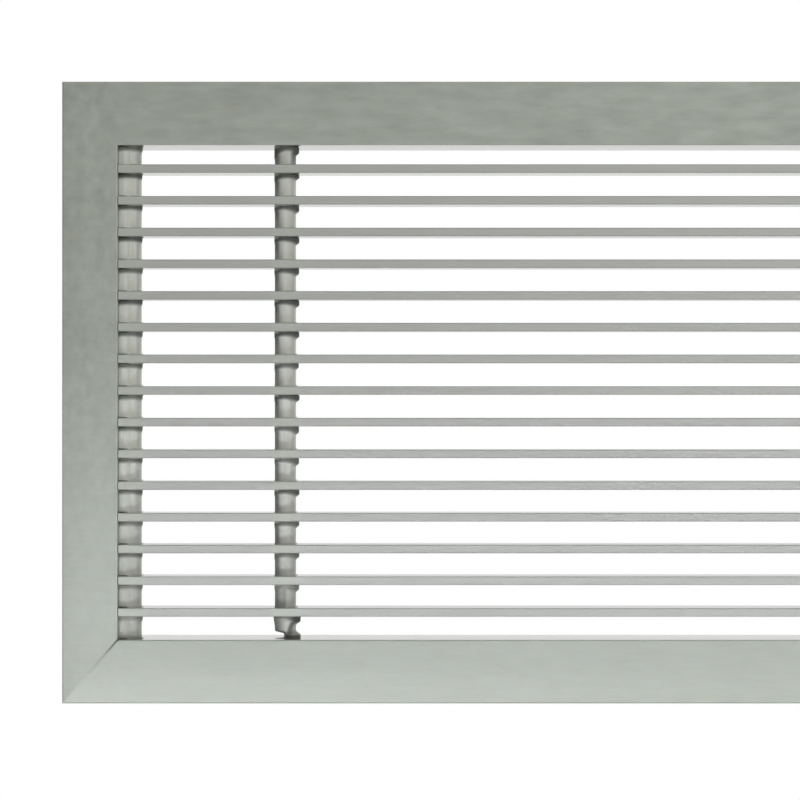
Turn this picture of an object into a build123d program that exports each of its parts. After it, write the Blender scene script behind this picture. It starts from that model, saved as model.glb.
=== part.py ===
from build123d import *
import os

# A fixed-bar air grille: a mitred frame of four extruded rails, fifteen flat bars and
# three cross tubes that pass through the bars and are flared over outside the frame.
# X runs along the bars, Z is up and the front faces -Y. The origin is the middle of the
# wall opening, in the plane where the back of the flange meets the wall.

# Opening that the neck goes into, and the room left around the neck on each side.
duct_width = 304.8
duct_height = 203.2
neck_clearance = 1.2

# Section of the frame rails.
long_face = 25.4
end_face = 22.2
face_wall = 1.8
lip_wall = 1.5
leg_wall = 1.3
flange_rise = 5.0
overall_depth = 31.75
outer_edge_radius = 0.8
inner_edge_radius = 0.4

# Channel behind the rail face that holds a corner key.
channel_width = 12.0
channel_depth = 2.1
rib_wall = 1.2
hook_reach = 1.0
hook_wall = 0.9

# Corner keys.
key_clearance = 0.05
key_arm = 34.0
key_tip_chamfer = 2.0
key_relief = 0.6

# Bars.
bar_pitch = 12.7
bar_wall = 3.4
bar_depth = 19.05
bar_setback = 0.8
bar_end_gap = 0.25
bar_edge_chamfer = 0.3
bar_row_lift = 0.8
least_edge_gap = 6.0

# Cross tubes.
tube_radius = 4.76
tube_wall = 1.2
hole_clearance = 0.02
end_tube_gap = 0.3
tube_spacing = 62.2
flare_reach = 0.65
flare_height = 0.9

# Sizes worked out from those above.
inside_width = duct_width - 2 * (neck_clearance + leg_wall)
inside_height = duct_height - 2 * (neck_clearance + leg_wall)
face_front = -flange_rise
face_back = face_front + face_wall
neck_back = face_front + overall_depth
channel_outer = leg_wall + channel_width
channel_back = face_back + channel_depth
bar_front = face_front + bar_setback
bar_middle = bar_front + bar_depth / 2
bar_length = inside_width - 2 * bar_end_gap
bar_room = inside_height - bar_wall - 2 * (least_edge_gap + bar_row_lift)
bar_count = 1 + int(bar_room / bar_pitch)
bar_levels = [bar_row_lift + ((bar_count - 1) / 2 - i) * bar_pitch for i in range(bar_count)]
end_tube_x = inside_width / 2 - end_tube_gap - tube_radius
tube_places = {
    "tube_left_end": -end_tube_x,
    "tube_left_inner": tube_spacing - end_tube_x,
    "tube_right_end": end_tube_x,
}


def rail_section(face):
    """Section of a rail: u runs outwards from the opening and v runs back from the front."""
    lip_inner = face - lip_wall
    rib_outer = channel_outer + rib_wall
    hook_back = channel_back + hook_wall
    outline = [
        (0, face_front),
        (face, face_front),
        (face, 0),
        (lip_inner, 0),
        (lip_inner, face_back),
        (rib_outer, face_back),
        (rib_outer, hook_back),
        (channel_outer - hook_reach, hook_back),
        (channel_outer - hook_reach, channel_back),
        (channel_outer, channel_back),
        (channel_outer, face_back),
        (leg_wall, face_back),
        (leg_wall, channel_back),
        (leg_wall + hook_reach, channel_back),
        (leg_wall + hook_reach, hook_back),
        (leg_wall, hook_back),
        (leg_wall, neck_back),
        (0, neck_back),
    ]
    section = make_face(Polyline(*outline, close=True))
    front = section.vertices().group_by(Axis.Y)[0].sort_by(Axis.X)
    section = fillet(front[0], inner_edge_radius)
    outer = section.vertices().sort_by_distance((face, face_front))[0]
    return fillet(outer, outer_edge_radius)


def rail(inner_length, face, mitre_run):
    """A rail along X with its inner edge on Z = 0, cut at each end by an upright mitre plane."""
    half_inner = inner_length / 2
    half_outer = half_inner + mitre_run
    across = Plane(origin=(half_outer, 0, 0), x_dir=(0, 0, 1), z_dir=(-1, 0, 0))
    length = extrude(across * rail_section(face), 2 * half_outer)
    plan = Plane(origin=(0, face_front, 0), x_dir=(1, 0, 0), z_dir=(0, -1, 0))
    corners = [(-half_inner, 0), (half_inner, 0), (half_outer, face), (-half_outer, face)]
    trapezoid = extrude(plan * make_face(Polyline(*corners, close=True)), -overall_depth)
    return length & trapezoid


def tube_holes(wall, level):
    """Upright cylinders at the tube places, for the holes through a wall at the given level."""
    hole = Cylinder(tube_radius + hole_clearance, 2 * wall)
    return [Pos(x, bar_middle, level) * hole for x in tube_places.values()]


def frame_rails():
    """The four rails: the long ones are punched for the tubes and the end ones are plain."""
    top = Pos(0, 0, inside_height / 2) * rail(inside_width, long_face, end_face)
    top -= tube_holes(leg_wall, (inside_height + leg_wall) / 2)
    left = rail(inside_height, end_face, long_face)
    left = Pos(-inside_width / 2, 0, 0) * Rot(0, -90, 0) * left
    return {
        "frame_top": top,
        "frame_bottom": mirror(top, Plane.XY),
        "frame_left": left,
        "frame_right": mirror(left, Plane.YZ),
    }


def corner_key():
    """Flat angle for the upper left corner, lying in the channels of the two rails that meet."""
    near = leg_wall + key_clearance
    far = channel_outer - key_clearance
    outline = [
        (-far, far),
        (-far, -key_arm),
        (-near, -key_arm),
        (-near, near - key_relief),
        (-near - key_relief, near - key_relief),
        (-near - key_relief, near + key_relief),
        (-near + key_relief, near + key_relief),
        (-near + key_relief, near),
        (key_arm, near),
        (key_arm, far),
    ]
    blank = make_face(Polyline(*outline, close=True))
    tips = [v for v in blank.vertices() if v.X > key_arm - 1 or v.Y < 1 - key_arm]
    blank = chamfer(tips, key_tip_chamfer)
    front = face_back + key_clearance
    corner = (-inside_width / 2, front, inside_height / 2)
    plan = Plane(origin=corner, x_dir=(1, 0, 0), z_dir=(0, -1, 0))
    return extrude(plan * blank, -(channel_depth - 2 * key_clearance))


def corner_keys():
    """A key for each corner: the upper left one, mirrored across, mirrored down and turned half round."""
    key = corner_key()
    return {
        "corner_key_top_left": key,
        "corner_key_top_right": mirror(key, Plane.YZ),
        "corner_key_bottom_left": mirror(key, Plane.XY),
        "corner_key_bottom_right": Rot(0, 180, 0) * key,
    }


def bar():
    """A flat bar on edge, with its front edges broken and a hole for each tube."""
    blank = Pos(0, bar_middle, 0) * Box(bar_length, bar_depth, bar_wall)
    front_edges = blank.faces().sort_by(Axis.Y)[0].edges().filter_by(Axis.X)
    return chamfer(front_edges, bar_edge_chamfer) - tube_holes(bar_wall, 0)


def tube():
    """A tube through all the bars, with both ends flared over the outside of the neck."""
    neck_half = inside_height / 2 + leg_wall
    end = neck_half + flare_height
    bore = tube_radius - tube_wall
    flare = tube_radius + flare_reach
    outline = [
        (bore, -end),
        (flare, -end),
        (tube_radius, -neck_half),
        (tube_radius, neck_half),
        (flare, end),
        (bore, end),
    ]
    return revolve(Plane.XZ * make_face(Polyline(*outline, close=True)), Axis.Z)


def all_parts():
    """Every piece of the grille by name."""
    parts = frame_rails()
    parts.update(corner_keys())
    one_bar = bar()
    for number, level in enumerate(bar_levels, start=1):
        parts[f"bar_{number:02d}"] = Pos(0, 0, level) * one_bar
    one_tube = tube()
    for name, x in tube_places.items():
        parts[name] = Pos(x, bar_middle, 0) * one_tube
    return parts


os.makedirs("parts", exist_ok=True)
for name, shape in all_parts().items():
    export_step(shape, f"parts/{name}.step")
    print(name, len(shape.solids()), round(shape.volume, 1))
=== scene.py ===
"""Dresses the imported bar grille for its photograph.

X runs along the bars, Z is up and the front faces -Y, in metres. The origin is the middle of the
wall opening, in the plane where the back of the flange meets the wall.
"""

import math

import bpy
import numpy as np
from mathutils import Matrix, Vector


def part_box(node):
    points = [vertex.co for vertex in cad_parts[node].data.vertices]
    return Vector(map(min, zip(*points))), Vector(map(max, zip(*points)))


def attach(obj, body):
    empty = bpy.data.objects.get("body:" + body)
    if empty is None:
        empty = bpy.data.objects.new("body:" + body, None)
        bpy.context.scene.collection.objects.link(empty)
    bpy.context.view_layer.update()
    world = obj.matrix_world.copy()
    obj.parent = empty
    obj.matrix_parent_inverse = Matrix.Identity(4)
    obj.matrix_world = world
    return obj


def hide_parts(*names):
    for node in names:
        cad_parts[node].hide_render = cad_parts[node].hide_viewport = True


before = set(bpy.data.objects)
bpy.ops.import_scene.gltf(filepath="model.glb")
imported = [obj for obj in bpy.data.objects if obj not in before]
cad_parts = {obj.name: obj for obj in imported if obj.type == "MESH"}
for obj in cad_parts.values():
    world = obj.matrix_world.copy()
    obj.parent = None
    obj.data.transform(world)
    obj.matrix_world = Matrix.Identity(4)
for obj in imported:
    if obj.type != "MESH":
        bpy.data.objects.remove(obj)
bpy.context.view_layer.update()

bl_info = {
    "name": "Bar Grille Dressing",
    "version": (1, 0, 0),
    "blender": (4, 5, 0),
    "location": "View3D > Sidebar > Bar Grille",
    "description": "Mitred rails, crimped tubes, brushed finishes and a studio for a fixed-bar air grille",
    "category": "Object",
}

MM = 0.001
BODY = "root"


# Section of the rails, as the solids have it.
FACE_WALL = 1.8 * MM
LIP_WALL = 1.5 * MM
LEG_WALL = 1.3 * MM
CHANNEL_WIDTH = 12.0 * MM
CHANNEL_DEPTH = 2.1 * MM
RIB_WALL = 1.2 * MM
HOOK_REACH = 1.0 * MM
HOOK_WALL = 0.9 * MM
OUTER_EDGE_RADIUS = 0.8 * MM
INNER_EDGE_RADIUS = 0.4 * MM
HOLE_RADIUS = 4.78 * MM
TUBE_RADIUS = 4.76 * MM
TUBE_WALL = 1.2 * MM

# Mesh of the rails: steps of an edge's arc, points along the front of the section as shares of the
# face, sides of a hole, and how fast the open mitre closes on its way out.
ARC_STEPS = 5
FACE_POINTS = (0.08, 0.16, 0.26, 0.38)
HOLE_SIDES = 64
MITRE_CURVE = 1.8

# Mesh of the tubes, where the bore has one ring for every so many outside.
RING_HEIGHT = 0.32 * MM
TUBE_SIDES = 80
BORE_STEP = 4

# Edges sharper than these angles stay sharp, on the rails and the floor and on the tubes.
SHARP = math.radians(30)
TUBE_SHARP = math.radians(45)

# Crimped stretches of the tubes, in depths below the bar above: where the collar is full and where it
# shrinks, where the waist starts and is full, and where the painted shadow band below the bar ends. The
# waist ends at a rise above the bar below.
COLLAR_FULL = 0.3 * MM
COLLAR_SHRINKS = 0.9 * MM
WAIST_STARTS = 0.8 * MM
WAIST_FULL = 2.4 * MM
BAND_ENDS = 2.5 * MM
WAIST_FOOT = 0.7 * MM

# Shares of the collar and of the waist on the left of a tube, how much further out the flat at the back is,
# and the share of the painted shadow band that the lowest stretch lacks.
LEFT_COLLAR = 0.12
LEFT_WAIST = 0.17
BACK_FLAT = 0.06 * MM
SHADOW_BAND_LESS_BELOW = 0.45

# Differences from crimp to crimp.
TILT_SPREAD = 0.22 * MM
TURN_SPREAD = math.radians(7)
FLAT_SPREAD = 0.08 * MM
COLLAR_SPREAD = 0.15
# The band spread varies the strength of the painted shadow band from crimp to crimp.
BAND_SPREAD = 0.1

# A tube beside a neck wall: its share of the arch and of the painted shadow band, its gap to the wall, the
# rises between which the foot of its lowest stretch has painted shade and how much, and the radius at its
# corners, the flats that cut them off and how softly they do.
WALL_ARCH = 0.5
WALL_SHADOW_BAND = 0.95
WALL_CLEARANCE = 0.06 * MM
WALL_FOOT = (1.9 * MM, 0.7 * MM)
WALL_FOOT_SHADE = 0.5
WALL_CORNER = 7.2 * MM
WALL_FLAT = 5.1 * MM
WALL_SOFTNESS = 0.2 * MM

# Stretches of the inner tube that look unlike the rest: the first has a deeper arch, one that is counted
# from the top, from 0, has the shade of a crease painted down its front, and the lowest is crushed to these
# radii.
PINCHED_ARCH = 2.6
PAINTED_CREASE_STRETCH = 14
TORN_RADIUS = 0.9 * MM
FOOT_RADIUS = 5.8 * MM

# Tube ends: the lip of the flare, how much of the flare the mouth of the bore has, how far down the bore
# that reaches, and the least radius of the bore and the painted shade inside it.
FLARE_LIP = 0.15 * MM
MOUTH_SHARE = 0.55
MOUTH_DEPTH = 2.0 * MM
LEAST_BORE = 0.3 * MM
BORE_SHADE = 0.5

# Patterns of the finishes: cycles per metre along X, Y and Z, detail and roughness of the noise.
SANDED_GRAIN = ((110.0, 900.0, 900.0), 3.0, 0.65)
LONG_MOTTLE = ((75.0, 260.0, 260.0), 3.0, 0.55)
ROUND_MOTTLE = ((250.0, 250.0, 200.0), 3.0, 0.55)
FACE_CLOUD = ((25.0, 45.0, 45.0), 3.0, 0.6)
FACE_TINTS = ((150.0, 260.0, 260.0), 3.0, 0.5)
BAR_STREAK = ((14.0, 1300.0, 1300.0), 3.0, 0.6)
BAR_MOTTLE = ((70.0, 400.0, 400.0), 2.0, 0.5)
BAR_LOT = ((3.0, 3.0, 75.0), 1.0, 0.5)
KEY_CLOUD = ((160.0, 160.0, 160.0), 4.0, 0.6)
KEY_SPANGLE = 900.0
DRAWN_LINES = ((1400.0, 1400.0, 30.0), 3.0, 0.6)
TUBE_CLOUD = ((420.0, 420.0, 420.0), 3.0, 0.6)
DIE_ACROSS = 1500.0
DIE_ALONG = 4.0

# How strongly the patterns of a rail change its tone, and the grain its roughness.
GRAIN_TONE = 0.16
CLOUD_TONE = 0.18
DIE_TONE = 0.16
GRAIN_ROUGHNESS = 0.12

# Depths behind the front at which the sanded face of a rail gives way to the mill finish, and the dull
# front edge of a bar to its smooth flats.
SANDED_DEPTH = (0.6 * MM, 1.2 * MM)
BAR_EDGE_DEPTH = (1.1 * MM, 1.4 * MM)

# Tints of the rail's face, the share of its colour that dirt leaves, and the dirt along the open mitre:
# strength, half width where it is full and where it ends, length where it starts to fade and is gone.
WARM = (1.008, 1.0, 0.988)
COOL = (0.992, 1.0, 1.012)
DIRT_SHADE = 0.16
DIRT_SMEARS = (
    (0.30, 0.25 * MM, 0.65 * MM, 1 * MM, 9 * MM),
    (0.12, 0.2 * MM, 1.2 * MM, 14 * MM, 20 * MM),
)

# The bars and tubes carry painted shade below the middle, darkening down to this level to these shares of
# their tone, and a bar is rubbed within a distance of the middle of a tube.
LOW_LEVEL = -0.10
BAR_LOW_PAINTED_SHADE = 0.92
TUBE_LOW_PAINTED_SHADE = 0.72
RUBBED_REACH = (4.2 * MM, 7.0 * MM)

# Share of the tube's colour that its painted shade leaves, and of the bare metal's reflection.
PAINTED_SHADE_SHARE = 0.21
TUBE_METALLIC = 0.35

# Bump heights of the finishes.
RAIL_BUMP = 0.02 * MM
BAR_BUMP = 0.015 * MM
KEY_BUMP = 0.02 * MM
TUBE_BUMP = 0.02 * MM

# Lens of the camera in millimetres, and places and sizes of the soft boxes: the key, the one overhead
# and the strip below, which is turned to a point further left and at a level of its own.
LENS = 50.0
KEY_PLACE = (0.99, -2.13, 0.855)
KEY_SIZE = (0.5, 0.35)
TOP_PLACE = (0.35, -0.60, 1.20)
TOP_SIZE = (0.8, 0.6)
LOW_PLACE = (-0.14, -0.50, -0.35)
LOW_SIZE = (0.9, 0.10)
LOW_TARGET_SHIFT = -0.04
LOW_TARGET_LEVEL = -0.080

# The room, over the parts of a ray's direction: where the white behind the grille starts, where the dark
# side on the left ends, and where the front does.
BACKDROP_EDGE = (0.80, 0.95)
DARK_SIDE_EDGE = (-0.9, 0.7)
FRONT_EDGE = (-0.6, 0.5)

# The floor: sides and radii of its rings, where it turns to white, and its grey.
FLOOR_SIDES = 96
FLOOR_RADII = (0.3, 0.6, 0.9, 1.5, 3.0, 8.0)
FLOOR_WHITE = (0.45, 0.75)
FLOOR_GREY = (0.8, 0.8, 0.8, 1.0)
WHITE = (1.0, 1.0, 1.0, 1.0)

# Places that the frame gives.
TOP_LOW, TOP_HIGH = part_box("frame_top")
LEFT_LOW, LEFT_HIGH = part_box("frame_left")
FRONT = TOP_LOW.y
BACK = TOP_HIGH.y
INSIDE_X = -LEFT_HIGH.x
INSIDE_Z = TOP_LOW.z
LONG_FACE = TOP_HIGH.z - TOP_LOW.z
END_FACE = LEFT_HIGH.x - LEFT_LOW.x
BARS = sorted(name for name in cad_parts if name.startswith("bar_"))
KEYS = sorted(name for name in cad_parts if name.startswith("corner_key_"))
TUBES = ("tube_left_end", "tube_left_inner", "tube_right_end")
BAR_BOXES = [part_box(name) for name in BARS]
TUBE_BOXES = {name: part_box(name) for name in TUBES}


class GrilleRails(bpy.types.PropertyGroup):
    """How the four rails are made and finished."""

    edge: bpy.props.FloatProperty(
        name="Eased Edge", description="Radius that deburring leaves on the sharp edges",
        default=0.12 * MM, min=0.02 * MM, max=0.3 * MM, unit="LENGTH", precision=5,
    )
    open_mitre: bpy.props.FloatProperty(
        name="Open Mitre", description="Gap of the lower left mitre at its inner end, shared by both rails",
        default=0.4 * MM, min=0.0, max=1.2 * MM, unit="LENGTH", precision=5,
    )
    colour: bpy.props.FloatVectorProperty(
        name="Satin Aluminium", description="Colour of the brushed frame", subtype="COLOR",
        default=(0.505, 0.541, 0.476), min=0.0, max=1.0,
    )
    roughness: bpy.props.FloatProperty(
        name="Roughness", description="Roughness of the brushed frame", subtype="FACTOR",
        default=0.56, min=0.0, max=1.0,
    )
    mottle: bpy.props.FloatProperty(
        name="Mottle", description="How much the tone of the face varies in patches", subtype="FACTOR",
        default=0.42, min=0.0, max=1.0,
    )
    low_mottle: bpy.props.FloatProperty(
        name="Bottom Mottle", description="Share of the mottle that the bottom rail has", subtype="FACTOR",
        default=0.30, min=0.0, max=1.0,
    )
    mitre_edge: bpy.props.FloatProperty(
        name="Mitre Edge", description="Radius that the saw and the sanding leave along the mitres",
        default=0.02 * MM, min=0.01 * MM, max=0.3 * MM, unit="LENGTH", precision=5,
    )
    mill_colour: bpy.props.FloatVectorProperty(
        name="Mill Aluminium", description="Colour of the rails behind the sanded face", subtype="COLOR",
        default=(0.625, 0.640, 0.610), min=0.0, max=1.0,
    )
    mill_roughness: bpy.props.FloatProperty(
        name="Mill Roughness", description="Roughness of the long rails behind the sanded face",
        subtype="FACTOR", default=0.24, min=0.0, max=1.0,
    )
    metallic: bpy.props.FloatProperty(
        name="Metallic", description="Share of the bare metal's reflection, the rest being its dull skin",
        subtype="FACTOR", default=0.6, min=0.0, max=1.0,
    )


class GrilleBars(bpy.types.PropertyGroup):
    """How the flat bars and the corner keys are finished."""

    colour: bpy.props.FloatVectorProperty(
        name="Bar Aluminium", description="Colour of the extruded bars", subtype="COLOR",
        default=(0.584, 0.597, 0.563), min=0.0, max=1.0,
    )
    rubbed_colour: bpy.props.FloatVectorProperty(
        name="Rubbed Aluminium", description="Colour of the bars where they cross the tubes",
        subtype="COLOR", default=(0.600, 0.632, 0.560), min=0.0, max=1.0,
    )
    roughness: bpy.props.FloatProperty(
        name="Roughness", description="Roughness of the bars", subtype="FACTOR",
        default=0.50, min=0.0, max=1.0,
    )
    flat_roughness: bpy.props.FloatProperty(
        name="Flat Roughness", description="Roughness of the upper and lower sides of the bars",
        subtype="FACTOR", default=0.22, min=0.0, max=1.0,
    )
    metallic: bpy.props.FloatProperty(
        name="Metallic", description="Share of the bare metal's reflection, the rest being its dull skin",
        subtype="FACTOR", default=0.7, min=0.0, max=1.0,
    )
    key_colour: bpy.props.FloatVectorProperty(
        name="Zinc Steel", description="Colour of the plated corner keys", subtype="COLOR",
        default=(0.55, 0.56, 0.58), min=0.0, max=1.0,
    )


class GrilleTubes(bpy.types.PropertyGroup):
    """How the cross tubes are crimped between the bars and finished."""

    flat: bpy.props.FloatProperty(
        name="Crimp Flat", description="Distance from the middle of a tube to the flat that the tool leaves",
        default=4.12 * MM, min=3.6 * MM, max=4.7 * MM, unit="LENGTH", precision=5,
    )
    waist: bpy.props.FloatProperty(
        name="Waist", description="How far the crimped stretch shrinks all round",
        default=0.85 * MM, min=0.0, max=1.2 * MM, unit="LENGTH", precision=5,
    )
    collar: bpy.props.FloatProperty(
        name="Collar", description="How far the metal swells below each bar",
        default=0.48 * MM, min=0.0, max=0.6 * MM, unit="LENGTH", precision=5,
    )
    arch: bpy.props.FloatProperty(
        name="Collar Arch", description="How much lower the collar reaches at its sides than in front",
        default=1.0 * MM, min=0.0, max=3.0 * MM, unit="LENGTH", precision=5,
    )
    turn: bpy.props.FloatProperty(
        name="Tool Angle", description="Direction of the crimp flat, from straight ahead towards +X",
        default=math.radians(7), min=-math.pi, max=math.pi, subtype="ANGLE",
    )
    flare: bpy.props.FloatProperty(
        name="Flare", description="Radius of the ends, flared over outside the necks",
        default=5.38 * MM, min=4.8 * MM, max=5.4 * MM, unit="LENGTH", precision=5,
    )
    colour: bpy.props.FloatVectorProperty(
        name="Tube Aluminium", description="Colour of the drawn tubes", subtype="COLOR",
        default=(0.765, 0.785, 0.715), min=0.0, max=1.0,
    )
    seed: bpy.props.IntProperty(
        name="Seed", description="Seed of the small differences from crimp to crimp", default=7, min=0,
    )


class GrilleStage(bpy.types.PropertyGroup):
    """Camera, lamps, floor and world."""

    distance: bpy.props.FloatProperty(
        name="Camera Distance", description="From the camera to the face of the frame",
        default=1.4, min=0.3, max=6.0, unit="LENGTH",
    )
    width: bpy.props.FloatProperty(
        name="Picture Width", description="Width of the face that the picture shows",
        default=320.2 * MM, min=0.1, max=2.0, unit="LENGTH",
    )
    centre: bpy.props.FloatVectorProperty(
        name="Picture Centre", description="Point of the face in the middle of the picture, X and Z",
        size=2, default=(-36.8 * MM, -3.0 * MM), unit="LENGTH",
    )
    floor: bpy.props.FloatProperty(
        name="Floor Level", description="Height of the floor", default=-0.60, unit="LENGTH",
    )
    key_power: bpy.props.FloatProperty(
        name="Key Power", description="Power of the soft box at the right of the camera",
        default=7.0, min=0.0, unit="POWER",
    )
    low_colour: bpy.props.FloatVectorProperty(
        name="Low Colour", description="Colour of the strip below, a little cool", subtype="COLOR",
        default=(0.90, 0.90, 1.0), min=0.0, max=1.0,
    )
    low_spread: bpy.props.FloatProperty(
        name="Low Spread", description="Angle of the grid on the strip below", subtype="ANGLE",
        default=math.radians(22.5), min=0.1, max=math.pi,
    )
    top_power: bpy.props.FloatProperty(
        name="Top Power", description="Power of the soft box overhead",
        default=0.9, min=0.0, unit="POWER",
    )
    low_power: bpy.props.FloatProperty(
        name="Low Power", description="Power of the strip below the grille",
        default=0.119, min=0.0, unit="POWER",
    )
    sky: bpy.props.FloatProperty(
        name="Room Level", description="Strength of the light from the room",
        default=1.28, min=0.0, max=2.0,
    )
    dark_side: bpy.props.FloatProperty(
        name="Dark Side", description="Share of the room's light that comes from the left",
        subtype="FACTOR", default=0.3, min=0.0, max=1.0,
    )
    front_share: bpy.props.FloatProperty(
        name="Front Share", description="Share of the room's light that comes from the front",
        subtype="FACTOR", default=0.4, min=0.0, max=1.0,
    )


class Value:
    """A shader value. Each operator adds the Math node that works it out."""

    def __init__(self, shader, socket):
        self.shader = shader
        self.socket = socket

    def __add__(self, other):
        return self.shader.math("ADD", self, other)

    def __radd__(self, other):
        return self.shader.math("ADD", other, self)

    def __sub__(self, other):
        return self.shader.math("SUBTRACT", self, other)

    def __rsub__(self, other):
        return self.shader.math("SUBTRACT", other, self)

    def __mul__(self, other):
        return self.shader.math("MULTIPLY", self, other)

    def __rmul__(self, other):
        return self.shader.math("MULTIPLY", other, self)

    def __abs__(self):
        return self.shader.math("ABSOLUTE", self)


class Shader:
    """Writes the nodes of one material or world."""

    def __init__(self, tree):
        self.tree = tree
        tree.nodes.clear()

    def node(self, kind, settings=None, inputs=None, output=0):
        """Adds a node, sets what it is, then gives its sockets values or links, and returns one output."""
        made = self.tree.nodes.new(kind)
        for name, setting in (settings or {}).items():
            setattr(made, name, setting)
        for socket, value in (inputs or {}).items():
            self.give(made.inputs[socket], value)
        return Value(self, made.outputs[output]) if len(made.outputs) else made

    def give(self, socket, value):
        """Links a socket to a shader value, or sets it to a plain one."""
        if isinstance(value, Value):
            self.tree.links.new(value.socket, socket)
        else:
            socket.default_value = value

    def math(self, operation, *values):
        """What a Math node of the named operation gives."""
        return self.node("ShaderNodeMath", {"operation": operation}, dict(enumerate(values)))

    def mix(self, factor, first, second):
        """Colour that runs from the first to the second as the factor runs from 0 to 1."""
        settings = {"data_type": "RGBA", "clamp_factor": True}
        return self.node("ShaderNodeMix", settings, {0: factor, 6: first, 7: second}, output=2)

    def tint(self, colour, amount):
        """Colour with each channel multiplied by a shader value."""
        plain = colour if isinstance(colour, Value) else colour[:3]
        return self.node("ShaderNodeVectorMath", {"operation": "SCALE"}, {0: plain, "Scale": amount})

    def place(self):
        """Object coordinates, in metres."""
        return self.node("ShaderNodeTexCoord", output="Object")

    def axes(self, vector):
        """The three parts of a vector."""
        parts = self.node("ShaderNodeSeparateXYZ", inputs={0: vector})
        return [Value(self, socket) for socket in parts.socket.node.outputs]

    def stretched(self, vector, scale):
        """A vector multiplied part by part."""
        return self.node("ShaderNodeVectorMath", {"operation": "MULTIPLY"}, {0: vector, 1: scale})

    def pattern(self, place, kind):
        """Noise from about 0.2 to 0.8, with a mean of a half, in one of the patterns of the finishes."""
        scale, detail, rough = kind
        stretched = self.stretched(place, scale)
        inputs = {"Vector": stretched, "Scale": 1.0, "Detail": detail, "Roughness": rough}
        return self.node("ShaderNodeTexNoise", {}, inputs)

    def ramp(self, value, start, end, low=0.0, high=1.0):
        """Runs smoothly from low to high as the value runs from start to end."""
        settings = {"interpolation_type": "SMOOTHSTEP", "clamp": True}
        inputs = {"Value": value, "From Min": start, "From Max": end, "To Min": low, "To Max": high}
        return self.node("ShaderNodeMapRange", settings, inputs)

    def attribute(self, name):
        """The number that the mesh has under a name."""
        return self.node("ShaderNodeAttribute", {"attribute_name": name}, output="Fac")

    def bump(self, height, distance, strength):
        """Normal that a height from 0 to 1, times a distance in metres, gives."""
        inputs = {"Height": height, "Distance": distance, "Strength": strength}
        return self.node("ShaderNodeBump", {}, inputs)

    def metal(self, colour, roughness, normal, metallic=1.0):
        """Closes the material with a metal."""
        inputs = {"Base Color": colour, "Roughness": roughness, "Normal": normal, "Metallic": metallic}
        surface = self.node("ShaderNodeBsdfPrincipled", {}, inputs)
        self.node("ShaderNodeOutputMaterial", {}, {"Surface": surface})


def material(name):
    """A new material and the writer of its nodes."""
    made = bpy.data.materials.new(name)
    made.use_nodes = True
    return made, Shader(made.node_tree)


def opaque(colour):
    """A colour with full alpha."""
    return (*colour, 1.0)


def joint_dirt(shader, x, z):
    """Dirt along the lower left mitre, which stands open at its inner end. With a and b the distances
    outwards from the inner corner, the joint is the line a / END_FACE = b / LONG_FACE: it is darker and
    narrow at the inner end, then faint and wider, and clean over its outer half."""
    a = -INSIDE_X - x
    b = -INSIDE_Z - z
    length = math.hypot(END_FACE, LONG_FACE)
    away = abs(a * (LONG_FACE / length) - b * (END_FACE / length))
    along = a * (END_FACE / length) + b * (LONG_FACE / length)
    dirt_and_painted_shade = 0
    for strength, full, edge, start, end in DIRT_SMEARS:
        dirt_and_painted_shade = strength * shader.ramp(away, edge, full) * shader.ramp(along, end, start) + dirt_and_painted_shade
    return dirt_and_painted_shade * shader.math("GREATER_THAN", along, -0.5 * MM)


def swing(pattern, share):
    """A pattern as a change of tone or roughness, up or down by up to about a third of the share."""
    return share * (pattern - 0.5)


def rail_material(settings, name, length_axis, mill_roughness):
    """Frame aluminium. The face is sanded along X after the frame is joined, so its grain and its mottle
    run on over the mitres. The mottle is long on the long rails, round on the end rails and weak on the
    bottom rail. What lies behind the face keeps the mill finish and the die lines along its own rail."""
    made, shader = material(name)
    place = shader.place()
    x, y, z = shader.axes(place)
    grain = shader.pattern(place, SANDED_GRAIN)
    long_mottle = shader.pattern(place, LONG_MOTTLE)
    round_mottle = shader.pattern(place, ROUND_MOTTLE)
    at_end = shader.ramp(abs(x), INSIDE_X - 10 * MM, INSIDE_X + 5 * MM)
    mottle = at_end * round_mottle + (1 - at_end) * long_mottle
    cloud = shader.pattern(place, FACE_CLOUD)
    die_scale = [DIE_ALONG if axis == length_axis else DIE_ACROSS for axis in range(3)]
    die = shader.pattern(place, (die_scale, 2.0, 0.5))
    behind = shader.ramp(y, *(FRONT + depth for depth in SANDED_DEPTH))
    worn = shader.ramp(z, LOW_LEVEL, 0.02, settings.low_mottle, 1.0)
    patches = swing(mottle, settings.mottle) + swing(cloud, CLOUD_TONE)
    face = swing(grain, GRAIN_TONE) + worn * patches
    tone = 1 + (1 - behind) * face + behind * swing(die, DIE_TONE)
    warm = opaque([c * k for c, k in zip(settings.colour, WARM)])
    cool = opaque([c * k for c, k in zip(settings.colour, COOL)])
    sanded = shader.mix(shader.ramp(shader.pattern(place, FACE_TINTS), 0.35, 0.65), warm, cool)
    clean = shader.tint(shader.mix(behind, sanded, opaque(settings.mill_colour)), tone)
    dirty = opaque([DIRT_SHADE * c for c in settings.colour])
    colour = shader.mix(joint_dirt(shader, x, z) * (1 - behind), clean, dirty)
    sanded_roughness = settings.roughness + swing(grain, GRAIN_ROUGHNESS)
    roughness = (1 - behind) * sanded_roughness + behind * mill_roughness
    height = (1 - behind) * (0.6 * grain + 0.4 * mottle) + behind * die
    shader.metal(colour, roughness, shader.bump(height, RAIL_BUMP, 0.5), settings.metallic)
    return made


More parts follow.
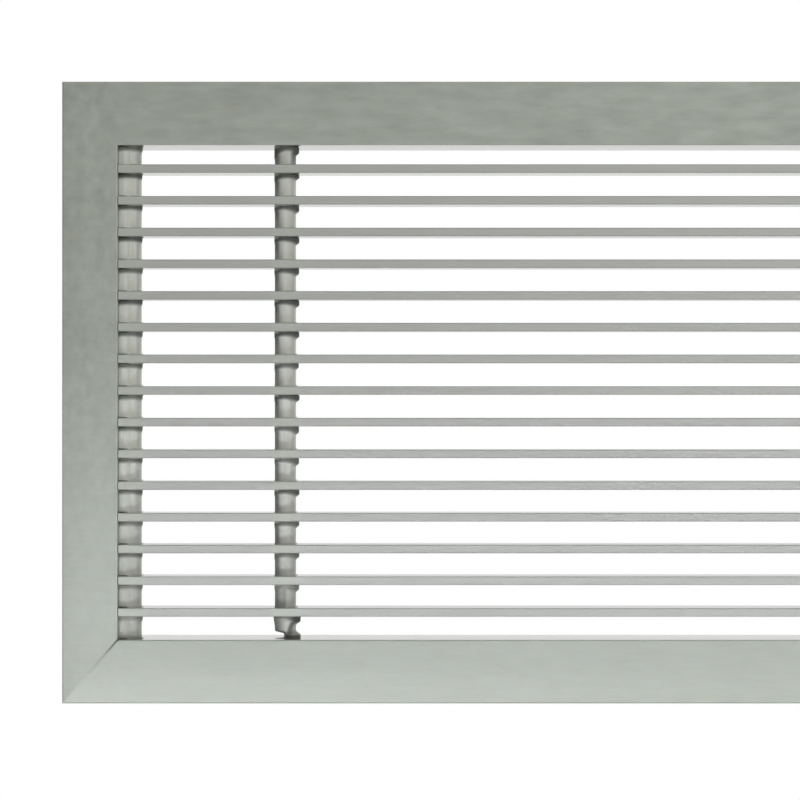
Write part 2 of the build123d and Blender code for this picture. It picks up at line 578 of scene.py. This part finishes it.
def bar_material(settings):
    """Bar aluminium: lengthwise grain, duller on the front edge than on the smooth flats, a little
    difference from bar to bar, painted shade that darkens it low down, and a brighter, rubbed patch in front
    of each tube."""
    made, shader = material("bar_aluminium_satin")
    place = shader.place()
    x, y, z = shader.axes(place)
    streak = shader.pattern(place, BAR_STREAK)
    mottle = shader.pattern(place, BAR_MOTTLE)
    lot = shader.pattern(place, BAR_LOT)
    flats = shader.ramp(y, *(FRONT + depth for depth in BAR_EDGE_DEPTH))
    tone = 0.80 + 0.12 * streak + 0.10 * mottle + 0.10 * lot
    full, edge = RUBBED_REACH
    rubbed = 0
    for low, high in TUBE_BOXES.values():
        rubbed = shader.ramp(abs(x - (low.x + high.x) / 2), edge, full) + rubbed
    clean = shader.mix(0.9 * rubbed, opaque(settings.colour), opaque(settings.rubbed_colour))
    # Painted shade: the bars darken towards the bottom.
    colour = shader.tint(clean, tone * shader.ramp(z, LOW_LEVEL, 0.0, BAR_LOW_PAINTED_SHADE, 1.0))
    dull = settings.roughness + swing(streak, 0.12)
    roughness = (1 - flats) * dull + flats * settings.flat_roughness
    normal = shader.bump(0.7 * streak + 0.3 * mottle, BAR_BUMP, 0.5)
    shader.metal(colour, roughness, normal, settings.metallic)
    return made


def key_material(settings):
    """Zinc-plated steel: fine spangle, blanking grain and a slightly blue tone."""
    made, shader = material("key_zinc_steel")
    place = shader.place()
    inputs = {"Vector": place, "Scale": KEY_SPANGLE}
    spangle = shader.node("ShaderNodeTexVoronoi", {"feature": "F1"}, inputs, output="Color")
    cloud = shader.pattern(place, KEY_CLOUD)
    plain = shader.tint(opaque(settings.key_colour), 0.86 + 0.28 * cloud)
    colour = shader.mix(0.08, plain, spangle)
    shader.metal(colour, 0.30 + 0.20 * cloud, shader.bump(cloud, KEY_BUMP, 0.6))
    return made


def tube_material(settings):
    """Tube aluminium: drawn lengthwise, with painted shade that darkens it low down, and the painted shade
    that the mesh marks: the shadow band below each bar, the shaded side, creases and the bore."""
    made, shader = material("tube_aluminium_crimped")
    place = shader.place()
    drawn = shader.pattern(place, DRAWN_LINES)
    cloud = shader.pattern(place, TUBE_CLOUD)
    # Painted shade that the mesh carries: the shadow band below each bar, the shaded side, creases and the
    # bore.
    painted_shade = shader.attribute("painted_shade")
    # Painted shade: the tubes darken towards the bottom.
    low_painted_shade = shader.ramp(shader.axes(place)[2], LOW_LEVEL, 0.0, TUBE_LOW_PAINTED_SHADE, 1.0)
    tone = (0.82 + 0.18 * drawn + 0.18 * cloud) * low_painted_shade
    clean = shader.tint(opaque(settings.colour), tone)
    painted_shade_colour = shader.tint(opaque([PAINTED_SHADE_SHARE * c for c in settings.colour]), tone)
    colour = shader.mix(painted_shade, clean, painted_shade_colour)
    roughness = 0.46 + 0.10 * cloud + 0.10 * painted_shade
    normal = shader.bump(0.5 * drawn + 0.5 * cloud, TUBE_BUMP, 0.6)
    shader.metal(colour, roughness, normal, TUBE_METALLIC)
    return made


def volume_of(points, quads, caps):
    """Signed volume of a closed mesh: a sixth of the sum, over its triangles, of a . (b x c)."""
    fans = [np.column_stack([np.full(len(cap) - 2, cap[0]), cap[1:-1], cap[2:]]) for cap in caps]
    a, b, c = points[np.concatenate([quads[:, :3], quads[:, [0, 2, 3]], *fans])].transpose(1, 0, 2)
    return np.sum(a * np.cross(b, c)) / 6


def new_object(name, points, quads, caps=(), sharp=SHARP):
    """A smooth-shaded object at the origin, made of quads and capping polygons. They are turned, all of
    them if need be, so that they face outwards. Edges sharper than the angle stay sharp."""
    if volume_of(points, quads, caps) < 0:
        quads = quads[:, ::-1]
        caps = [cap[::-1] for cap in caps]
    corner_counts = np.array([4] * len(quads) + [len(cap) for cap in caps])
    mesh = bpy.data.meshes.new(name)
    mesh.vertices.add(len(points))
    mesh.vertices.foreach_set("co", points.astype(np.float32).ravel())
    mesh.loops.add(int(corner_counts.sum()))
    mesh.loops.foreach_set("vertex_index", np.concatenate([quads.ravel(), *caps]).astype(np.int32))
    mesh.polygons.add(len(corner_counts))
    mesh.polygons.foreach_set("loop_start", np.cumsum(corner_counts) - corner_counts)
    mesh.polygons.foreach_set("use_smooth", np.ones(len(corner_counts), bool))
    mesh.update(calc_edges=True)
    mesh.validate()
    mesh.set_sharp_from_angle(angle=sharp)
    made = bpy.data.objects.new(name, mesh)
    bpy.context.scene.collection.objects.link(made)
    return made


def ring_faces(rings, count, closed=False):
    """Quads between neighbouring rings of a grid, as rows of four point numbers. A closed grid goes on
    from its last ring to its first."""
    ring = np.arange(rings if closed else rings - 1)[:, None] * count
    following = (ring + count) % (rings * count)
    here = np.arange(count)[None, :]
    after = (here + 1) % count
    quads = np.stack([ring + here, ring + after, following + after, following + here], axis=-1)
    return quads.reshape(-1, 4)


def end_caps(rings, count):
    """The polygons that close the first and the last ring of a grid."""
    ring = np.arange(count)
    return [ring[::-1], ring + (rings - 1) * count]


def rail_outline(face, edge):
    """Closed section of a rail in (u, v): u runs out from the opening and v runs back from the front.
    Each corner is an arc, of its own radius or of the eased edge's, that touches both its sides."""
    face_back = FRONT + FACE_WALL
    channel_outer = LEG_WALL + CHANNEL_WIDTH
    rib_outer = channel_outer + RIB_WALL
    channel_back = face_back + CHANNEL_DEPTH
    hook_back = channel_back + HOOK_WALL
    points = np.array([
        (0, FRONT), (face, FRONT), (face, 0), (face - LIP_WALL, 0), (face - LIP_WALL, face_back),
        (rib_outer, face_back), (rib_outer, hook_back), (channel_outer - HOOK_REACH, hook_back),
        (channel_outer - HOOK_REACH, channel_back), (channel_outer, channel_back),
        (channel_outer, face_back), (LEG_WALL, face_back), (LEG_WALL, channel_back),
        (LEG_WALL + HOOK_REACH, channel_back), (LEG_WALL + HOOK_REACH, hook_back),
        (LEG_WALL, hook_back), (LEG_WALL, BACK), (0, BACK),
    ])
    radii = np.full(len(points), edge)
    radii[0] = INNER_EDGE_RADIUS
    radii[1] = OUTER_EDGE_RADIUS
    to_last = np.roll(points, 1, axis=0) - points
    to_next = np.roll(points, -1, axis=0) - points
    to_last /= np.linalg.norm(to_last, axis=1, keepdims=True)
    to_next /= np.linalg.norm(to_next, axis=1, keepdims=True)
    share = np.linspace(0, 1, ARC_STEPS + 1)[None, :, None] * math.pi / 2
    last, following = to_last[:, None], to_next[:, None]
    reach = radii[:, None, None]
    centre = points[:, None] + reach * (last + following)
    arcs = centre - reach * (np.cos(share) * following + np.sin(share) * last)
    along_face = np.array([(part * face, FRONT) for part in FACE_POINTS])
    return np.concatenate([arcs[0], along_face, arcs[1:].reshape(-1, 2)])


def inset(outline, distance):
    """The outline moved inwards by a distance, each point along the mean of its sides' normals."""
    before = outline - np.roll(outline, 1, axis=0)
    after = np.roll(outline, -1, axis=0) - outline
    along = before / np.linalg.norm(before, axis=1, keepdims=True)
    along = along + after / np.linalg.norm(after, axis=1, keepdims=True)
    along /= np.linalg.norm(along, axis=1, keepdims=True)
    return outline + distance * np.stack([-along[:, 1], along[:, 0]], axis=1)


def rail_grid(settings, half_inner, face, run, open_low):
    """Points, quads and caps of a rail that lies along its first axis: the section is carried from one
    mitre plane to the other, and at each end it draws in by the mitre's eased edge over the same length.
    The mitre planes run from half_inner, at the opening, outwards by run over the width of the face.
    The gap open_low is taken from the low end at the opening. It fades to nothing on the way out, and
    from the front of the face to the back of the face wall, so the joint is a groove."""
    outline = rail_outline(face, settings.edge)
    eased = settings.mitre_edge
    small = inset(outline, eased)
    ends = ((-1, small, 0), (-1, outline, eased), (1, outline, eased), (1, small, 0))
    rings = []
    for side, section, back_off in ends:
        out, back = section.T
        end = half_inner + run * out / face - back_off
        if side < 0:
            open_share = np.clip(1 - out / (FACE_POINTS[-1] * face), 0, 1) ** MITRE_CURVE
            end = end - open_low * open_share * np.clip(1 - (back - FRONT) / FACE_WALL, 0, 1)
        rings.append(np.column_stack([side * end, back, out]))
    grid = (len(rings), len(outline))
    return np.concatenate(rings), ring_faces(*grid), end_caps(*grid)


def bored(piece, centres, radius, low, high):
    """Cuts round upright holes through a piece, between two levels."""
    angle = np.arange(HOLE_SIDES) * 2 * math.pi / HOLE_SIDES
    circle = radius * np.column_stack([np.cos(angle), np.sin(angle)])
    for x, y in centres:
        rings = [np.column_stack([circle + (x, y), np.full(HOLE_SIDES, level)]) for level in (low, high)]
        points = np.concatenate(rings)
        cutter = new_object("cutter", points, ring_faces(2, HOLE_SIDES), end_caps(2, HOLE_SIDES))
        cut = piece.modifiers.new("bore", "BOOLEAN")
        cut.operation = "DIFFERENCE"
        cut.solver = "EXACT"
        cut.object = cutter
        seen = piece.evaluated_get(bpy.context.evaluated_depsgraph_get())
        mesh = bpy.data.meshes.new_from_object(seen)
        piece.modifiers.clear()
        piece.data = mesh
        bpy.data.objects.remove(cutter)
    piece.data.set_sharp_from_angle(angle=SHARP)


def dressed(piece, finish, node):
    """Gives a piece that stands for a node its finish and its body."""
    piece.data.materials.clear()
    piece.data.materials.append(finish)
    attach(piece, BODY)
    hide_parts(node)


def repaint(node, finish):
    """Gives a solid of the frame a better finish."""
    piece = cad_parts[node]
    piece.data.materials.clear()
    piece.data.materials.append(finish)


class GRILLE_OT_rails(bpy.types.Operator):
    """Builds the four rails with eased edges, mitres that show, and a sanded face"""

    bl_idname = "grille.rails"
    bl_label = "Rails"

    def execute(self, context):
        settings = context.scene.grille_rails
        long_finish = rail_material(settings, "frame_aluminium_long", 0, settings.mill_roughness)
        end_finish = rail_material(settings, "frame_aluminium_end", 2, settings.roughness)
        gap = settings.open_mitre / 2
        holes = [((low.x + high.x) / 2, (low.y + high.y) / 2) for low, high in TUBE_BOXES.values()]
        for name, side in (("frame_top", 1), ("frame_bottom", -1)):
            open_low = gap if side < 0 else 0.0
            points, quads, caps = rail_grid(settings, INSIDE_X, LONG_FACE, END_FACE, open_low)
            points[:, 2] = side * (INSIDE_Z + points[:, 2])
            piece = new_object(name + "_rail", points, quads, caps)
            levels = sorted((side * (INSIDE_Z - MM), side * (INSIDE_Z + LEG_WALL + MM)))
            bored(piece, holes, HOLE_RADIUS, *levels)
            dressed(piece, long_finish, name)
        for name, side in (("frame_left", -1), ("frame_right", 1)):
            open_low = gap if side < 0 else 0.0
            points, quads, caps = rail_grid(settings, INSIDE_Z, END_FACE, LONG_FACE, open_low)
            x = side * (INSIDE_X + points[:, 2])
            points = np.column_stack([x, points[:, 1], points[:, 0]])
            piece = new_object(name + "_rail", points, quads, caps)
            dressed(piece, end_finish, name)
        return {"FINISHED"}


class GRILLE_OT_bars(bpy.types.Operator):
    """Finishes the flat bars"""

    bl_idname = "grille.bars"
    bl_label = "Bars"

    def execute(self, context):
        finish = bar_material(context.scene.grille_bars)
        for name in BARS:
            repaint(name, finish)
        return {"FINISHED"}


class GRILLE_OT_keys(bpy.types.Operator):
    """Finishes the corner keys"""

    bl_idname = "grille.keys"
    bl_label = "Corner Keys"

    def execute(self, context):
        finish = key_material(context.scene.grille_bars)
        for name in KEYS:
            repaint(name, finish)
        return {"FINISHED"}


def step(value, start, end):
    """0 before start and 1 after end, with a smooth cubic between them, for arrays."""
    share = np.clip((value - start) / (end - start), 0, 1)
    return share * share * (3 - 2 * share)


def cells():
    """The open stretches of a tube from the top down, as pairs of levels: the underside of one bar and
    the top of the next."""
    tops = [INSIDE_Z] + [low.z for low, high in BAR_BOXES]
    bottoms = [high.z for low, high in BAR_BOXES] + [-INSIDE_Z]
    return list(zip(tops, bottoms))


def pressed(radius, near, flat, soft=0.4 * MM):
    """A radius cut off by a flat at a distance from the middle, where near is the cosine of the angle
    from the flat's own direction: -soft * log(exp(-radius / soft) + exp(-flat / near / soft))."""
    cut = flat / np.maximum(near, 0.3)
    return np.where(near > 0.3, -soft * np.logaddexp(-radius / soft, -cut / soft), radius)


def crushed(shape, across, depth, rise):
    """Radius and painted shade of the lowest stretch of the inner tube, which is crushed. Its left side is
    torn off above the neck, on which its rest lies flat with no painted shade, and the rest of the left has
    some. Its right side is pinched above a foot with painted shade, the shade of a fold is painted down
    right of the middle, from the collar to the foot, and a painted shadow band lies below the bar."""
    left = step(-across, -0.1, 0.5)
    right = step(across, 0.0, 0.7)
    gone = step(depth, 6.1 * MM, 7.4 * MM) * step(rise, 0.0, 0.5 * MM)
    pinch = step(depth, 1.8 * MM, 4.2 * MM) * step(rise, 1.4 * MM, 3.4 * MM)
    shape = shape + 0.3 * MM * left * (1 - step(depth, 1.0 * MM, 6.0 * MM))
    shape = shape + left * gone * (TORN_RADIUS - shape)
    shape = shape + right * (1 - pinch) * (FOOT_RADIUS - shape) * step(depth, 0.0, COLLAR_FULL)
    # Painted shade: the left side, a fold down the front, the foot and the band below the bar.
    fold_shade = step(abs(across - 0.78 + 0.07 * depth / MM), 0.35, 0.1) * step(depth, 0.4 * MM, 1.2 * MM)
    foot_shade = step(rise, 2.2 * MM, 1.2 * MM) * (1 - left)
    top = 1 - step(depth, 0.8 * MM + 1.4 * MM * right, 1.6 * MM + 1.8 * MM * right)
    painted_shade = np.maximum(np.maximum(0.5 * left, 0.75 * fold_shade), np.maximum(foot_shade, (0.7 + 0.3 * right) * top))
    return shape, painted_shade * (1 - left * step(rise, 0.9 * MM, 0.5 * MM))


def filled_out(shape, across, ahead, depth, rise, room):
    """Radius of a stretch beside a neck wall. Its side towards the wall fills out to square corners, and
    is cut off by a plane whose distance from the middle of the tube is the room."""
    corner = pressed(np.full_like(ahead, WALL_CORNER), abs(ahead), WALL_FLAT, WALL_SOFTNESS)
    full = step(depth, 0.0, RING_HEIGHT) * step(rise, 0.0, RING_HEIGHT) * step(-across, 0.0, 0.5)
    shape = shape + full * (np.maximum(corner, shape) - shape)
    shape = pressed(shape, -across, room, 0.1 * MM)
    return np.minimum(shape, room / np.maximum(-across, 0.3))


def inner_painted_shade(number, strength, band, across, ahead, depth):
    """Painted shade of a stretch of the inner tube: the greater of the painted shadow band below the bar and
    the painted shade of its shaded side, which is the left, or both sides of the first stretch, less a spot
    at the far left of the collar where the painted shade is lighter. One stretch also has the shade of a
    crease painted down its front."""
    reach = 0.35 if number == 0 else 0.42
    edge = abs(across) if number == 0 else -across
    # Painted shade on the shaded left side, lighter in a spot at the far left of the collar.
    side = step(edge, reach, reach + 0.4) * (0.85 - 0.50 * step(depth, 2 * MM, 9 * MM))
    clear = 0.6 * step(-across, 0.45, 0.8) * (1 - step(depth, 0.3 * MM, 1.3 * MM))
    dirt_and_painted_shade = strength * np.maximum(band, side) * (1 - clear)
    if number == PAINTED_CREASE_STRETCH:
        # Painted shade of a crease down the front.
        crease_shade = step(abs(across + 0.12), 0.22, 0.06) + 0.5 * step(-across, 0.1, 0.3)
        dirt_and_painted_shade = np.maximum(0.8 * dirt_and_painted_shade, 0.45 * crease_shade * step(ahead, 0.0, 0.1))
    return dirt_and_painted_shade


def crimped_tube(settings, name, hand):
    """Points, quads and painted shade of a crimped tube.

    The outside is a grid of rings over the height z and the angle a, from straight ahead towards +X.
    Its radius is the tube's own inside each bar. In each open stretch it swells to a collar below the
    upper bar, then shrinks to a waist, where a flat turned by the tool's angle cuts it off, and it
    swells again a little above the lower bar. A tube beside a neck wall fills out towards it. The wall
    turns over the ends, which are flared, and goes down the bore, which follows the outside where that
    is narrow. The hand is -1 for a tube that is the mirror image."""
    low, high = TUBE_BOXES[name]
    middle = (low + high) / 2
    room = INSIDE_X - abs(middle.x) - WALL_CLEARANCE
    beside_wall = room < 2 * TUBE_RADIUS
    rng = np.random.default_rng(settings.seed + TUBES.index(name))
    rings = int(round((high.z - low.z) / RING_HEIGHT))
    z = np.linspace(high.z, low.z, rings)[:, None]
    angle = (np.arange(TUBE_SIDES) * 2 * math.pi / TUBE_SIDES)[None, :]
    across = hand * np.sin(angle)
    ahead = np.cos(angle)
    radius = np.full((rings, TUBE_SIDES), TUBE_RADIUS)
    painted_shade = np.zeros_like(radius)
    for number, (top, bottom) in enumerate(cells()):
        depth = top - z
        rise = z - bottom
        inside = (depth > 0) & (rise > 0)
        tilt, turn, press, swell = rng.normal(0, 1, 4)
        turn_angle = hand * (settings.turn + TURN_SPREAD * turn)
        droop = settings.arch * across ** 2 + TILT_SPREAD * tilt * across
        if beside_wall:
            droop = WALL_ARCH * droop
        elif number == 0:
            droop = PINCHED_ARCH * droop
        right = step(across, -0.2, 0.9)
        shrunk = step(depth, COLLAR_SHRINKS + droop, WAIST_FULL + droop)
        collar = step(depth, 0.0, COLLAR_FULL) * (1 - shrunk)
        waist = step(depth, WAIST_STARTS + droop, WAIST_FULL + droop) * step(rise, 0.0, WAIST_FOOT)
        share = -right if beside_wall else LEFT_COLLAR + (1 - LEFT_COLLAR) * right
        swelling = settings.collar * (1 + COLLAR_SPREAD * swell) * share
        narrowing = settings.waist * (LEFT_WAIST + (1 - LEFT_WAIST) * right)
        shape = TUBE_RADIUS + collar * swelling - waist * narrowing
        for face, extra in ((0.0, 0.0), (math.pi, BACK_FLAT)):
            flat = settings.flat + FLAT_SPREAD * press + extra
            shape = shape + waist * (pressed(shape, np.cos(angle - turn_angle - face), flat) - shape)
        # Painted shadow of the bar above: a band that droops at the sides and is lighter in the lowest
        # stretches.
        band = 1 - step(depth, COLLAR_SHRINKS + droop, BAND_ENDS + droop)
        band_lighter_below = SHADOW_BAND_LESS_BELOW * (number / len(BARS)) ** 5
        strength = (1 - band_lighter_below) * (1 + BAND_SPREAD * np.tanh(swell))
        if beside_wall:
            shape = filled_out(shape, across, ahead, depth, rise, room)
            # Painted shadow band below each bar, and painted shade at the foot of the lowest stretch.
            dirt_and_painted_shade = WALL_SHADOW_BAND * strength * band
            if number == len(BARS):
                dirt_and_painted_shade = np.maximum(dirt_and_painted_shade, WALL_FOOT_SHADE * step(rise, *WALL_FOOT))
        elif number == len(BARS):
            shape, dirt_and_painted_shade = crushed(shape, across, depth, rise)
        else:
            dirt_and_painted_shade = inner_painted_shade(number, strength, band, across, ahead, depth)
        radius = np.where(inside, shape, radius)
        painted_shade = np.where(inside, dirt_and_painted_shade, painted_shade)
    flared_by = settings.flare - TUBE_RADIUS
    radius = radius + flared_by * step(abs(z), INSIDE_Z + LEG_WALL, high.z - FLARE_LIP)
    inner_z = z[::-BORE_STEP]
    inner_radius = np.clip(radius[::-BORE_STEP] - TUBE_WALL, LEAST_BORE, TUBE_RADIUS - TUBE_WALL)
    from_end = high.z - abs(inner_z)
    inner_radius = inner_radius + MOUTH_SHARE * flared_by * step(from_end, MOUTH_DEPTH, 0.0)
    z = np.concatenate([z, inner_z])
    radius = np.concatenate([radius, inner_radius])
    # Painted shade inside the bore.
    painted_shade = np.concatenate([painted_shade, np.full_like(inner_radius, BORE_SHADE)])
    x = middle.x + radius * np.sin(angle)
    y = middle.y - radius * ahead
    points = np.stack([x, y, np.broadcast_to(z, radius.shape)], axis=-1).reshape(-1, 3)
    return points, ring_faces(len(z), TUBE_SIDES, closed=True), painted_shade.reshape(-1)


class GRILLE_OT_tubes(bpy.types.Operator):
    """Builds the crimped tubes that carry the bars"""

    bl_idname = "grille.tubes"
    bl_label = "Crimped Tubes"

    def execute(self, context):
        settings = context.scene.grille_tubes
        finish = tube_material(settings)
        for name in TUBES:
            points, quads, painted_shade = crimped_tube(settings, name, -1 if name == "tube_right_end" else 1)
            piece = new_object(name + "_crimped", points, quads, sharp=TUBE_SHARP)
            shade = piece.data.attributes.new("painted_shade", "FLOAT", "POINT")
            shade.data.foreach_set("value", painted_shade.astype(np.float32))
            dressed(piece, finish, name)
        return {"FINISHED"}


def lamp(name, place, target, size, power, spread=math.pi, colour=(1.0, 1.0, 1.0)):
    """A rectangular soft box turned to a point, with a grid where the spread is under half a turn."""
    data = bpy.data.lights.new(name, "AREA")
    data.shape = "RECTANGLE"
    data.size, data.size_y = size
    data.energy = power
    data.color = colour
    data.spread = spread
    made = bpy.data.objects.new(name, data)
    made.location = place
    made.rotation_mode = "QUATERNION"
    made.rotation_quaternion = (made.location - target).to_track_quat("Z", "Y")
    bpy.context.scene.collection.objects.link(made)


def rays(shader):
    """1 or 0 for a ray from the camera, and for one that the object mirrors or lets through."""
    path = shader.node("ShaderNodeLightPath").socket.node.outputs
    names = ("Is Camera Ray", "Is Glossy Ray", "Is Transmission Ray")
    camera, mirrored, let_through = (Value(shader, path[name]) for name in names)
    return camera, shader.math("MAXIMUM", mirrored, let_through)


def white_world(settings):
    """White as the camera sees it, and behind the grille as the object mirrors it, and for the light a
    plain room that is darker at its left side and in front."""
    world = bpy.data.worlds.new("studio")
    world.use_nodes = True
    shader = Shader(world.node_tree)
    camera_ray, object_ray = rays(shader)
    x, y = shader.axes(shader.node("ShaderNodeTexCoord", output="Generated"))[:2]
    white = shader.math("MAXIMUM", camera_ray, object_ray * shader.ramp(y, *BACKDROP_EDGE))
    room = settings.sky * shader.ramp(x, *DARK_SIDE_EDGE, settings.dark_side, 1.0)
    room = room * shader.ramp(y, *FRONT_EDGE, settings.front_share, 1.0)
    strength = white + (1 - white) * room
    surface = shader.node("ShaderNodeBackground", {}, {"Color": WHITE, "Strength": strength})
    shader.node("ShaderNodeOutputWorld", {}, {"Surface": surface})
    bpy.context.scene.world = world


def floor(settings):
    """A round floor: rings of points at growing radii. It is plain and pale near the grille, where its
    shadow falls, and turns to the white of the background further out."""
    angle = np.arange(FLOOR_SIDES) * 2 * math.pi / FLOOR_SIDES
    radii = np.array(FLOOR_RADII)[:, None]
    x = radii * np.cos(angle)
    y = radii * np.sin(angle)
    points = np.stack([x, y, np.full_like(x, settings.floor)], axis=-1).reshape(-1, 3)
    middle = np.arange(FLOOR_SIDES)[::-1]
    made = new_object("floor", points, ring_faces(len(radii), FLOOR_SIDES), [middle])
    finish, shader = material("floor_pale")
    x, y = shader.axes(shader.place())[:2]
    far = shader.ramp(shader.math("SQRT", x * x + y * y), *FLOOR_WHITE)
    shown = shader.math("MAXIMUM", *rays(shader))
    plain = shader.node("ShaderNodeBsdfDiffuse", {}, {"Color": FLOOR_GREY})
    white = shader.node("ShaderNodeEmission", {}, {"Color": WHITE, "Strength": 1.0})
    surface = shader.node("ShaderNodeMixShader", {}, {0: far * shown, 1: plain, 2: white})
    shader.node("ShaderNodeOutputMaterial", {}, {"Surface": surface})
    made.data.materials.append(finish)


class GRILLE_OT_stage(bpy.types.Operator):
    """Sets up the camera, the lamps, the floor and the world"""

    bl_idname = "grille.stage"
    bl_label = "Studio"

    def execute(self, context):
        settings = context.scene.grille_stage
        scene = context.scene
        from_face = FRONT - settings.distance
        camera = bpy.data.objects.new("camera", bpy.data.cameras.new("camera"))
        camera.data.lens = LENS
        camera.data.sensor_width = LENS * settings.width / settings.distance
        camera.location = (settings.centre[0], from_face, settings.centre[1])
        camera.rotation_euler = (math.pi / 2, 0.0, 0.0)
        scene.collection.objects.link(camera)
        scene.camera = camera
        target = camera.location.copy()
        target.y = 0.0
        lamp("key", KEY_PLACE, target, KEY_SIZE, settings.key_power)
        lamp("top", TOP_PLACE, target, TOP_SIZE, settings.top_power)
        target.x += LOW_TARGET_SHIFT
        target.z = LOW_TARGET_LEVEL
        low = (settings.low_power, settings.low_spread, settings.low_colour)
        lamp("low", LOW_PLACE, target, LOW_SIZE, *low)
        white_world(settings)
        floor(settings)
        scene.view_settings.view_transform = "Standard"
        return {"FINISHED"}


class GRILLE_PT_panel(bpy.types.Panel):
    """Lists what the file builds"""

    bl_idname = "GRILLE_PT_panel"
    bl_label = "Bar Grille"
    bl_space_type = "VIEW_3D"
    bl_region_type = "UI"
    bl_category = "Bar Grille"

    def draw(self, context):
        column = self.layout.column(align=True)
        for operator in OPERATORS:
            column.operator(operator.bl_idname)


SETTINGS = {
    "grille_rails": GrilleRails,
    "grille_bars": GrilleBars,
    "grille_tubes": GrilleTubes,
    "grille_stage": GrilleStage,
}
OPERATORS = (GRILLE_OT_rails, GRILLE_OT_bars, GRILLE_OT_keys, GRILLE_OT_tubes, GRILLE_OT_stage)
CLASSES = (*SETTINGS.values(), *OPERATORS, GRILLE_PT_panel)


def register():
    """Registers the classes and gives the scene its settings."""
    for cls in CLASSES:
        bpy.utils.register_class(cls)
    for name, group in SETTINGS.items():
        setattr(bpy.types.Scene, name, bpy.props.PointerProperty(type=group))


def unregister():
    """Takes the settings and the classes away again."""
    for name in SETTINGS:
        delattr(bpy.types.Scene, name)
    for cls in reversed(CLASSES):
        bpy.utils.unregister_class(cls)


def main():
    register()
    bpy.ops.grille.rails()
    bpy.ops.grille.bars()
    bpy.ops.grille.keys()
    bpy.ops.grille.tubes()
    bpy.ops.grille.stage()


if __name__ == "__main__":
    main()
